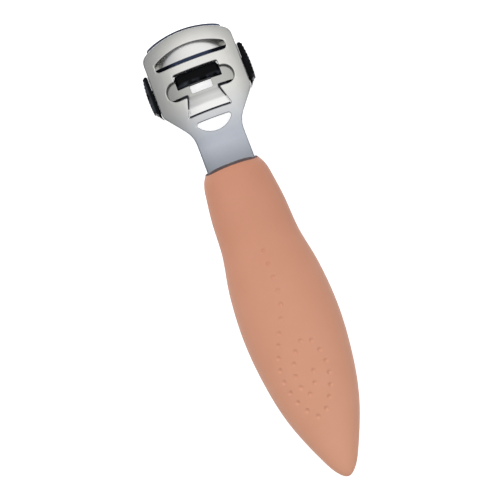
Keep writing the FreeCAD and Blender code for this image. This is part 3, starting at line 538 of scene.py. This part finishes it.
def finish_group(tree, group_out, geometry_out, finish):
    """Ends a geometry tree in real, smooth geometry with its finish."""
    smooth = add_node(tree, "GeometryNodeSetShadeSmooth", None, {"Geometry": geometry_out})
    real = add_node(tree, "GeometryNodeRealizeInstances", None, {"Geometry": smooth.outputs["Geometry"]})
    painted = add_node(tree, "GeometryNodeSetMaterial", None, {"Geometry": real.outputs["Geometry"]})
    painted.inputs["Material"].default_value = finish
    feed(tree, group_out, {"Geometry": painted.outputs["Geometry"]})


def grow(name, data, tree, settings=None):
    """Runs a geometry tree on a mesh or curve and gives the plain mesh that comes out."""
    seed = bpy.data.objects.new(name, data)
    scene.collection.objects.link(seed)
    modifier = seed.modifiers.new("grow", "NODES")
    modifier.node_group = tree
    sockets = {item.name: item.identifier for item in tree.interface.items_tree if item.in_out == "INPUT"}
    for socket, value in (settings or {}).items():
        modifier[sockets[socket]] = value
    return take_mesh(seed)


# The finger ribs: round ridges moulded on the guards' outer sides, of the same black ABS, so that wet
# fingers don't slip. They stand 1.25 mm apart, on a path that bows with the guard.
rib_from = -23.7
rib_to = -11.5
rib_across = 18.05
rib_flare = 0.35
rib_steps = 20
rib_middle = (rib_from + rib_to) / 2
tree, group_in, group_out = new_group("finger_ribs", {
    "Pitch": 0.00125, "Rib Radius": 0.00042, "Rib Height": 0.0033})
spots = add_node(tree, "GeometryNodeCurveToPoints", {"mode": "LENGTH"}, {
    "Curve": group_in.outputs["Geometry"], "Length": group_in.outputs["Pitch"]})
rib = add_node(tree, "GeometryNodeMeshCylinder", {"Vertices": 12}, {
    "Radius": group_in.outputs["Rib Radius"], "Depth": group_in.outputs["Rib Height"]})
rows = add_node(tree, "GeometryNodeInstanceOnPoints", None, {
    "Points": spots.outputs["Points"], "Instance": rib.outputs["Mesh"]})
finish_group(tree, group_out, rows.outputs["Instances"], black_abs)
edge_path = bpy.data.curves.new("guard_edges", "CURVE")
edge_path.dimensions = "3D"
for side in (-1, 1):
    spline = edge_path.splines.new("POLY")
    spline.points.add(rib_steps)
    for step in range(rib_steps + 1):
        along = rib_from + (rib_to - rib_from) * step / rib_steps
        bow = ((rib_to - rib_middle) ** 2 - (along - rib_middle) ** 2) / (2 * guard_bow)
        across = rib_across + rib_flare * (rib_to - along) / (rib_to - rib_from) + bow
        spot = (side * across, head_top + along, face_up - guard_down)
        spline.points[step].co = [value * 0.001 for value in spot] + [1]
ribs = grow("guard_edges", edge_path, tree)

carrier = new_piece("blade_holder", join(moulded), "clamp", black_abs, "black_plastic", "blade_carrier")
even_normals(carrier)
new_piece("finger_ribs", ribs, "clamp", None, "black_plastic")

# The rivets: soft steel, their heads spun over. Two hold the clamp's lugs in the head's ears and two
# hold the carrier to the clamp plate, leaning with the curve.
rivet_steel, tree, shader, place = new_finish("spun_rivet_steel", {"Metallic": 1.0, "Roughness": 0.3})
grain = add_node(tree, "ShaderNodeTexNoise", {"Scale": 2500.0}, {"Vector": place})
tone = add_node(tree, "ShaderNodeMix", {
    "data_type": "RGBA", "A": shade("#a9aaad"), "B": shade("#c9cacd")}, {"Factor": grain.outputs["Fac"]})
relief = add_node(tree, "ShaderNodeBump", {"Strength": 0.2, "Distance": 0.00003},
                  {"Height": grain.outputs["Fac"]})
feed(tree, shader, {"Base Color": tone.outputs["Result"], "Normal": relief.outputs["Normal"]})

# A rivet stands on its point by its head, and its shank goes down from there to its tail.
tree, group_in, group_out = new_group("rivets", {
    "Shank Radius": 0.0006, "Shank Length": 0.00175, "Head Radius": 0.00095,
    "Head Height": 0.0004, "Tail Radius": 0.00095, "Tail Height": 0.0004})
sizes = group_in.outputs
middle = add_node(tree, "ShaderNodeMath", {"operation": "MULTIPLY", 1: -0.5}, {0: sizes["Shank Length"]})
foot = add_node(tree, "ShaderNodeMath", {"operation": "MULTIPLY", 1: -1.0}, {0: sizes["Shank Length"]})
to_middle = add_node(tree, "ShaderNodeCombineXYZ", None, {"Z": middle.outputs["Value"]})
to_foot = add_node(tree, "ShaderNodeCombineXYZ", None, {"Z": foot.outputs["Value"]})
rod = add_node(tree, "GeometryNodeMeshCylinder", None, {
    "Radius": sizes["Shank Radius"], "Depth": sizes["Shank Length"]})
shank = add_node(tree, "GeometryNodeTransform", None, {
    "Geometry": rod.outputs["Mesh"], "Translation": to_middle.outputs["Vector"]})
rounded = []
for end in ("Head", "Tail"):
    ball = add_node(tree, "GeometryNodeMeshUVSphere")
    radius, height = sizes[f"{end} Radius"], sizes[f"{end} Height"]
    size = add_node(tree, "ShaderNodeCombineXYZ", None, {"X": radius, "Y": radius, "Z": height})
    rounded.append(add_node(tree, "GeometryNodeTransform", None, {
        "Geometry": ball.outputs["Mesh"], "Scale": size.outputs["Vector"]}))
feed(tree, rounded[1], {"Translation": to_foot.outputs["Vector"]})
whole = add_node(tree, "GeometryNodeJoinGeometry")
for part in [shank] + rounded:
    feed(tree, whole, {"Geometry": part.outputs["Geometry"]})
lean = add_node(tree, "GeometryNodeInputNamedAttribute", {"data_type": "FLOAT_VECTOR", "Name": "lean"})
rows = add_node(tree, "GeometryNodeInstanceOnPoints", None, {
    "Points": group_in.outputs["Geometry"], "Instance": whole.outputs["Geometry"],
    "Rotation": lean.outputs["Attribute"]})
finish_group(tree, group_out, rows.outputs["Instances"], rivet_steel)


def rivet_spots(places):
    """A point at each place, given in millimetres, with its rivet's lean in radians."""
    mesh = bpy.data.meshes.new("rivet_spots")
    mesh.from_pydata([[value * 0.001 for value in spot] for spot, lean in places], [], [])
    attribute = mesh.attributes.new("lean", "FLOAT_VECTOR", "POINT")
    attribute.data.foreach_set("vector", [value for spot, lean in places for value in lean])
    return mesh


# The hinge rivets' heads rest on the ears' outer sides. The carrier's rivets stand in its plate, wider,
# and turned about the centre of the head's curve.
pivot_across = ear_inner + head_wall
stud_back = 20.2
stud_turn = math.radians(17.5)
stud_proud = 0.05
stud_reach = leaf_radius - plate_down - plate_wall - stud_proud
stud_across = stud_reach * math.sin(stud_turn)
stud_up = face_up - leaf_radius + stud_reach * math.cos(stud_turn)
pins = grow("hinge_rivets", rivet_spots([
    ((side * pivot_across, head_top - pivot_back, face_up - pivot_down), (0, side * math.pi / 2, 0))
    for side in (-1, 1)]), tree)
studs = grow("carrier_rivets", rivet_spots([
    ((side * stud_across, head_top - stud_back, stud_up), (math.pi, side * stud_turn, 0))
    for side in (-1, 1)]), tree, {
        "Shank Radius": 0.0009, "Shank Length": 0.00205, "Head Radius": 0.0016,
        "Head Height": 0.0006, "Tail Radius": 0.0009, "Tail Height": 0.0001})
new_piece("hinge_rivets", pins, "tool", None, "rivet_steel", "pivot_rivet_right", "pivot_rivet_left")
new_piece("carrier_rivets", studs, "clamp", None, "rivet_steel", "carrier_rivet_right", "carrier_rivet_left")

# The handle's core and its two pins stay as they are built, because the skin closes over them: a hard
# black moulding round the head's tang, and steel dowels through it.
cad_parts["handle_core"].material_slots[0].material = black_abs
for name in ("tang_pin_front", "tang_pin_rear"):
    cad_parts[name].material_slots[0].material = rivet_steel

# The handle's skin: a soft rubber moulded 2 mm thick over the core, oval, swelling to the palm and
# tapering to a rounded tip, flat where it rests. Its mouth closes in round the neck of the head, and
# the mouth's upper half is drawn back.
mouth_at = 33.7
axis_up = 6.5
handle_long = 119.3
handle_half = 17.4
handle_rise = 9.4
handle_belly = 8.7
rest_ease = 0.6
skin_wall = 2.0
mouth_half = 9.55
mouth_lean = 2.9
mouth_fade = 14.0
lean_from = 2.5
lean_rise = 8.0
slot_half = 9.15
slot_gap = 0.45
slot_deep = 2.6
slot_lean = 0.42
slot_entry = ((0.05, 0.03), (0.3, 0))
lip_round = 0.35
lip_steps = 5
side_steps = 4000
face_turn = 0.74
close_columns = 125
wide_columns = 74
dimples_from = 32
dimples_to = 103
ring_pitch = 0.25
front_rings = 46
tip_rings = 26
inner_rings = 40

# The side's places and half widths, as shares of the whole length and width, up to the palm and past it.
swell_shares = ((0.0243, 0.177), (0.078, 0.342), (0.168, 0.494), (0.257, 0.570), (0.348, 0.81),
                (0.419, 0.937))
taper_shares = ((0.51, 1), (0.653, 0.931), (0.797, 0.733), (0.868, 0.560), (0.9405, 0.345),
                (0.977, 0.205))


def smooth_through(points, count):
    """Evenly divides the natural cubic spline that goes through some points."""
    points = np.array(points, float)
    knots = np.concatenate([[0], np.cumsum(np.linalg.norm(np.diff(points, axis=0), axis=1))])
    gap = np.diff(knots)
    rise = np.diff(points, axis=0) / gap[:, None]
    size = len(points)
    matrix = np.eye(size)
    known = np.zeros_like(points)
    for row in range(1, size - 1):
        matrix[row, row - 1:row + 2] = gap[row - 1], 2 * (gap[row - 1] + gap[row]), gap[row]
        known[row] = 6 * (rise[row] - rise[row - 1])
    bend = np.linalg.solve(matrix, known)
    stations = np.linspace(0, knots[-1], count)
    span = np.clip(np.searchsorted(knots, stations, "right") - 1, 0, size - 2)
    before = (knots[span + 1] - stations)[:, None]
    after = (stations - knots[span])[:, None]
    width = gap[span][:, None]
    return ((bend[span] * before ** 3 + bend[span + 1] * after ** 3) / (6 * width)
            + (points[span] / width - bend[span] * width / 6) * before
            + (points[span + 1] / width - bend[span + 1] * width / 6) * after)


def side_line(long, first_half, half):
    """Distances from the mouth and half widths, from the mouth to the tip."""
    side = [(0, first_half)]
    side += [(long * place, first_half + (half - first_half) * swell) for place, swell in swell_shares]
    side += [(long * place, half * share) for place, share in taper_shares]
    mirrored = [(place, -width) for place, width in reversed(side)]
    return smooth_through(side + [(long, 0)] + mirrored, 2 * side_steps + 1)[:side_steps + 1]


# Columns lie close together over the top, where the dimples are, and wider apart round the rest.
close_turns = np.linspace(-face_turn, face_turn, close_columns)
wide_turns = np.linspace(face_turn, 2 * math.pi - face_turn, wide_columns)
turns = np.concatenate([close_turns, wide_turns[1:-1]])


def oval(along, width, inset=0):
    """A ring of the handle: an oval with its own height above and below, and a soft-edged flat."""
    above = np.cos(turns) * (width / (handle_half - inset))
    up = np.where(above > 0, handle_rise - inset, handle_belly - inset) * above
    flat = -(axis_up - inset)
    blend = np.clip(0.5 + 0.5 * (up - flat) / rest_ease, 0, 1)
    up = flat * (1 - blend) + up * blend + rest_ease * blend * (1 - blend)
    return [(across, mouth_at - along, axis_up + height) for across, height in zip(width * np.sin(turns), up)]


def lean_back(ring, share=1):
    """Draws the upper half of a ring near the mouth back, so that the rubber ends lower on the neck."""
    near = max(1 - (mouth_at - ring[0][1]) / mouth_fade, 0) ** 2 * mouth_lean
    drawn = []
    for across, forward, height in ring:
        rise = min(max((height - lean_from) / lean_rise, 0), 1)
        part = share + (1 - share) * (across / slot_half) ** 4
        drawn.append((across, forward - near * part * rise ** 2 * (3 - 2 * rise), height))
    return drawn


def slot_ring(along, ease=0):
    """The ring of the slot that the neck goes into, a gap wider than the neck all round."""
    ring = []
    for turn in turns:
        across = (slot_half + ease) * math.sin(turn)
        side = 1 if math.cos(turn) > 0 else -1
        middle = leaf_up(min(abs(across), slot_half), head_wall / 2)
        ring.append((across, mouth_at - along, middle + side * (head_wall / 2 + slot_gap + ease)))
    return ring


outer_line = side_line(handle_long, mouth_half, handle_half)
inner_long = handle_long - slot_deep - skin_wall
inner_line = side_line(inner_long, slot_half, handle_half - skin_wall)
tip_places = dimples_to + (handle_long - dimples_to) * np.sin(np.linspace(0, math.pi / 2, tip_rings))
outer_places = np.concatenate([
    np.linspace(lip_round, dimples_from, front_rings)[:-1],
    np.arange(dimples_from, dimples_to, ring_pitch), tip_places[:-1]])
inner_places = inner_long * np.sin(np.linspace(0, math.pi / 2, inner_rings))[:-1]

# The shell runs from the tip forward over its outside, round the lip, and back along its inside.
outside = [oval(place, np.interp(place, *outer_line.T)) for place in reversed(outer_places)]
lip_width = np.interp(lip_round, *outer_line.T) - lip_round
for step in range(1, lip_steps + 1):
    lean = math.pi / 2 * step / lip_steps
    outside.append(oval(lip_round * (1 - math.sin(lean)), lip_width + lip_round * math.cos(lean)))
rings = [lean_back(ring) for ring in outside]
rings += [lean_back(slot_ring(*entry), slot_lean) for entry in slot_entry]
rings.append(slot_ring(slot_deep))
rings += [oval(slot_deep + place, np.interp(place, *inner_line.T), skin_wall) for place in inner_places]
tips = [(0, mouth_at - handle_long, axis_up), (0, mouth_at - slot_deep - inner_long, axis_up)]
points = [point for ring in rings for point in ring] + tips
columns = len(turns)
last = (len(rings) - 1) * columns
faces = []
for row in range(0, last, columns):
    for column in range(columns):
        beside = (column + 1) % columns
        faces.append((row + column, row + beside, row + columns + beside, row + columns + column))
for column in range(columns):
    beside = (column + 1) % columns
    faces.append((beside, column, len(points) - 2))
    faces.append((last + column, last + beside, len(points) - 1))
skin_mesh = bpy.data.meshes.new("skin")
skin_mesh.from_pydata([[value * 0.001 for value in point] for point in points], [], faces)

# The rings of the lip and the slot's first rings are marked for painted shade, the dark of the recess round
# the neck.
shades = np.zeros(len(points), np.float32)
shades[(len(outside) - 4) * columns:(len(outside) + 3) * columns] = 1
skin_mesh.attributes.new("lip_shade", "FLOAT", "POINT").data.foreach_set("value", shades)

# The grip dimples: a straight row down the middle runs into a whorl, where they stand a little closer.
# The path gives places across and back from the mouth.
row_pitch = 5.1
row_count = 7
whorl_pitch = 4.25
dimple_path = smooth_through([
    (0, 36.5), (-0.2, 46), (-0.9, 56.5), (-4.5, 65), (-7.9, 72.6), (-9.4, 80), (-8.3, 88), (-5, 95),
    (-1.6, 97.8), (2.1, 94.6), (5.4, 88.5), (6.6, 82), (5.6, 75), (2.6, 70.8), (-1.6, 73.5), (-4.4, 79),
    (-4.9, 85), (-2.7, 89.6), (0.2, 86.8), (1.5, 82)], 400)
run = np.concatenate([[0], np.cumsum(np.hypot(*np.diff(dimple_path, axis=0).T))])
row_runs = row_pitch * np.arange(row_count)
whorl_runs = np.arange(row_runs[-1] + whorl_pitch, run[-1] + 0.5, whorl_pitch)
dimple_runs = np.concatenate([row_runs, whorl_runs])
dimple_spots = zip(*(np.interp(dimple_runs, run, values) for values in dimple_path.T))
spots_mesh = bpy.data.meshes.new("dimple_spots")
spots_mesh.from_pydata([(across * 0.001, (mouth_at - along) * 0.001, 0)
                        for across, along in dimple_spots], [], [])
spots = bpy.data.objects.new("dimple_spots", spots_mesh)
scene.collection.objects.link(spots)

# Soft-touch rubber: dyed through and a little paler towards the tip, matt from a mould eroded
# in 0.3 mm grains, with the faint bloom that soft rubber gives at a grazing angle.
paler_to_tip = {"From Min": 0.034, "From Max": -0.086}
rubber, tree, shader, place = new_finish("soft_touch_rubber", {
    "Sheen Weight": 0.15, "Sheen Roughness": 0.5})
cloud = add_node(tree, "ShaderNodeTexNoise", {"Scale": 90.0, "Detail": 4.0}, {"Vector": place})
erosion = add_node(tree, "ShaderNodeTexNoise", {"Scale": 3200.0, "Detail": 3.0, "Roughness": 0.6},
                   {"Vector": place})
axes = add_node(tree, "ShaderNodeSeparateXYZ", None, {"Vector": place})
tip_ward_share = add_node(tree, "ShaderNodeMapRange", paler_to_tip, {"Value": axes.outputs["Y"]})
lip = add_node(tree, "ShaderNodeAttribute", {"attribute_name": "lip_shade"})
near_tone = add_node(tree, "ShaderNodeMix", {
    "data_type": "RGBA", "A": shade("#c5866a"), "B": shade("#ca8c70")}, {"Factor": cloud.outputs["Fac"]})
far_tone = add_node(tree, "ShaderNodeMix", {
    "data_type": "RGBA", "A": shade("#d79a7b"), "B": shade("#dca185")}, {"Factor": cloud.outputs["Fac"]})
# The tone grows a little paler from the mouth towards the tip.
tone = add_node(tree, "ShaderNodeMix", {"data_type": "RGBA"}, {
    "Factor": tip_ward_share.outputs["Result"], "A": near_tone.outputs["Result"], "B": far_tone.outputs["Result"]})
# Painted shade in the mouth's recess, on the marked rings.
lip_shade_tone = add_node(tree, "ShaderNodeMix", {"data_type": "RGBA", "B": shade("#48100a")}, {
    "Factor": lip.outputs["Fac"], "A": tone.outputs["Result"]})
matt = add_node(tree, "ShaderNodeMapRange", {"To Min": 0.48, "To Max": 0.66},
                {"Value": erosion.outputs["Fac"]})
relief = add_node(tree, "ShaderNodeBump", {"Strength": 0.25, "Distance": 0.00006},
                  {"Height": erosion.outputs["Fac"]})
feed(tree, shader, {"Base Color": lip_shade_tone.outputs["Result"], "Roughness": matt.outputs["Result"],
                    "Normal": relief.outputs["Normal"]})

# Each dimple is a round bowl pressed in along the surface's normal, on the upper face only.
tree, group_in, group_out = new_group("grip_dimples", {
    "Dimple Half": 0.00085, "Dimple Depth": 0.00036, "Face From": 0.0085}, ["Spots"])
marks = add_node(tree, "GeometryNodeObjectInfo", None, {"Object": group_in.outputs["Spots"]})
here = add_node(tree, "GeometryNodeInputPosition")
axes = add_node(tree, "ShaderNodeSeparateXYZ", None, {"Vector": here.outputs["Position"]})
plan = add_node(tree, "ShaderNodeCombineXYZ", None, {"X": axes.outputs["X"], "Y": axes.outputs["Y"]})
nearest = add_node(tree, "GeometryNodeProximity", {"target_element": "POINTS"}, {
    0: marks.outputs["Geometry"], "Sample Position": plan.outputs["Vector"]})
ratio = add_node(tree, "ShaderNodeMath", {"operation": "DIVIDE"}, {
    0: nearest.outputs["Distance"], 1: group_in.outputs["Dimple Half"]})
square = add_node(tree, "ShaderNodeMath", {"operation": "POWER", 1: 2.0}, {0: ratio.outputs["Value"]})
bowl = add_node(tree, "ShaderNodeMath", {"operation": "SUBTRACT", 0: 1.0}, {1: square.outputs["Value"]})
soft = add_node(tree, "ShaderNodeMath", {"operation": "SMOOTH_MAX", 1: 0.0, 2: 0.25},
                {0: bowl.outputs["Value"]})
deep = add_node(tree, "ShaderNodeMath", {"operation": "MULTIPLY"}, {
    0: soft.outputs["Value"], 1: group_in.outputs["Dimple Depth"]})
on_face = add_node(tree, "ShaderNodeMath", {"operation": "GREATER_THAN"}, {
    0: axes.outputs["Z"], 1: group_in.outputs["Face From"]})
push = add_node(tree, "ShaderNodeMath", {"operation": "MULTIPLY"}, {
    0: deep.outputs["Value"], 1: on_face.outputs["Value"]})
inward = add_node(tree, "ShaderNodeMath", {"operation": "MULTIPLY", 1: -1.0}, {0: push.outputs["Value"]})
normal = add_node(tree, "GeometryNodeInputNormal")
offset = add_node(tree, "ShaderNodeVectorMath", {"operation": "SCALE"}, {
    0: normal.outputs["Normal"], "Scale": inward.outputs["Value"]})
pressed_in = add_node(tree, "GeometryNodeSetPosition", None, {
    "Geometry": group_in.outputs["Geometry"], "Offset": offset.outputs["Vector"]})
finish_group(tree, group_out, pressed_in.outputs["Geometry"], rubber)
skin = grow("skin", skin_mesh, tree, {"Spots": spots})
bpy.data.objects.remove(spots)
new_piece("rubber_skin", skin, "tool", None, "soft_skin", "handle_skin")

# The studio floor: a broad white paper sweep just under the rest face. It keeps the tool's soft shadow
# and glows a little to the camera and in reflections, so that the picture's ground is plain white.
floor_size = 8
floor_drop = 0.0002
floor_glow = 0.66
bpy.ops.mesh.primitive_plane_add(size=floor_size, location=(0, 0, -floor_drop))
floor = bpy.context.object
floor.name = "floor"
white, tree, shader, place = new_finish("white_paper_sweep", {
    "Base Color": shade("#f4f4f4"), "Roughness": 0.9})
path = add_node(tree, "ShaderNodeLightPath")
seen = add_node(tree, "ShaderNodeMath", {"operation": "MAXIMUM"}, {
    0: path.outputs["Is Camera Ray"], 1: path.outputs["Is Glossy Ray"]})
seen_through = add_node(tree, "ShaderNodeMath", {"operation": "MAXIMUM"}, {
    0: seen.outputs["Value"], 1: path.outputs["Is Transmission Ray"]})
lift = add_node(tree, "ShaderNodeMath", {"operation": "MULTIPLY", 1: floor_glow},
                {0: seen_through.outputs["Value"]})
glow = add_node(tree, "ShaderNodeEmission", None, {"Strength": lift.outputs["Value"]})
both = add_node(tree, "ShaderNodeAddShader", None, {0: shader.outputs["BSDF"], 1: glow.outputs["Emission"]})
feed(tree, tree.nodes["Material Output"], {"Surface": both.outputs["Shader"]})
floor.data.materials.append(white)

# The studio's light: a dome that pales from slate at the horizon to white overhead, a little towards
# the head, which the steel mirrors, and two soft boxes that only light and aren't mirrored.
dome_top = (0.12, 0.25, 1.0)
dome_tones = ((0.0, "#50545c"), (0.5, "#646871"), (0.7, "#a2a3a5"), (0.8, "#b0b1b2"), (0.88, "#c8c8c8"),
              (0.94, "#ececeb"), (0.98, "#ffffff"))
world = bpy.data.worlds.new("studio")
scene.world = world
world.use_nodes = True
tree = world.node_tree
direction = add_node(tree, "ShaderNodeTexCoord")
height = add_node(tree, "ShaderNodeVectorMath", {"operation": "DOT_PRODUCT", 1: dome_top},
                  {0: direction.outputs["Generated"]})
ramp = add_node(tree, "ShaderNodeValToRGB", None, {"Fac": height.outputs["Value"]})
stops = ramp.color_ramp.elements
for place, code in dome_tones[1:-1]:
    stops.new(place)
for stop, (place, code) in zip(stops, dome_tones):
    stop.position = place
    stop.color = shade(code)
feed(tree, tree.nodes["Background"], {"Color": ramp.outputs["Color"]})


def soft_box(name, size, power, spot, aim):
    """A square lamp, given by its side, its power and its place in metres."""
    light = bpy.data.lights.new(name, "AREA")
    light.size = size
    light.energy = power
    made = bpy.data.objects.new(name, light)
    made.location = spot
    made.rotation_euler = (Vector(aim) - Vector(spot)).to_track_quat("-Z", "Y").to_euler()
    made.visible_glossy = False
    made.visible_camera = False
    scene.collection.objects.link(made)


soft_box("key_light", 0.6, 3.2, (-0.25, 0.5, 0.6), (0, 0, 0))
soft_box("fill_light", 0.8, 2.9, (0.12, -0.45, 0.7), (0, -0.03, 0))

# The camera: a long lens high over the handle's end, rolled so that the tool lies slantwise. It stands
# back as far as its lens needs to take in the view's width.
camera_lens = 400
camera_view = 0.172
elevation = math.radians(74.2)
roll = math.radians(20.7)
target = Vector((-0.0043, 0.0011, 0.0077))
camera = bpy.data.objects.new("camera", bpy.data.cameras.new("camera"))
scene.collection.objects.link(camera)
scene.camera = camera
camera.data.lens = camera_lens
camera.data.clip_start = 0.01
camera.data.clip_end = 10
back = Vector((0, -math.cos(elevation), math.sin(elevation)))
level_right = Vector((1, 0, 0))
level_up = back.cross(level_right)
right = level_right * math.cos(roll) - level_up * math.sin(roll)
up = level_right * math.sin(roll) + level_up * math.cos(roll)
distance = camera_view / camera.data.sensor_width * camera_lens
turned = Matrix((right, up, back)).transposed().to_4x4()
camera.matrix_world = Matrix.Translation(target + back * distance) @ turned

scene.view_settings.view_transform = "Standard"
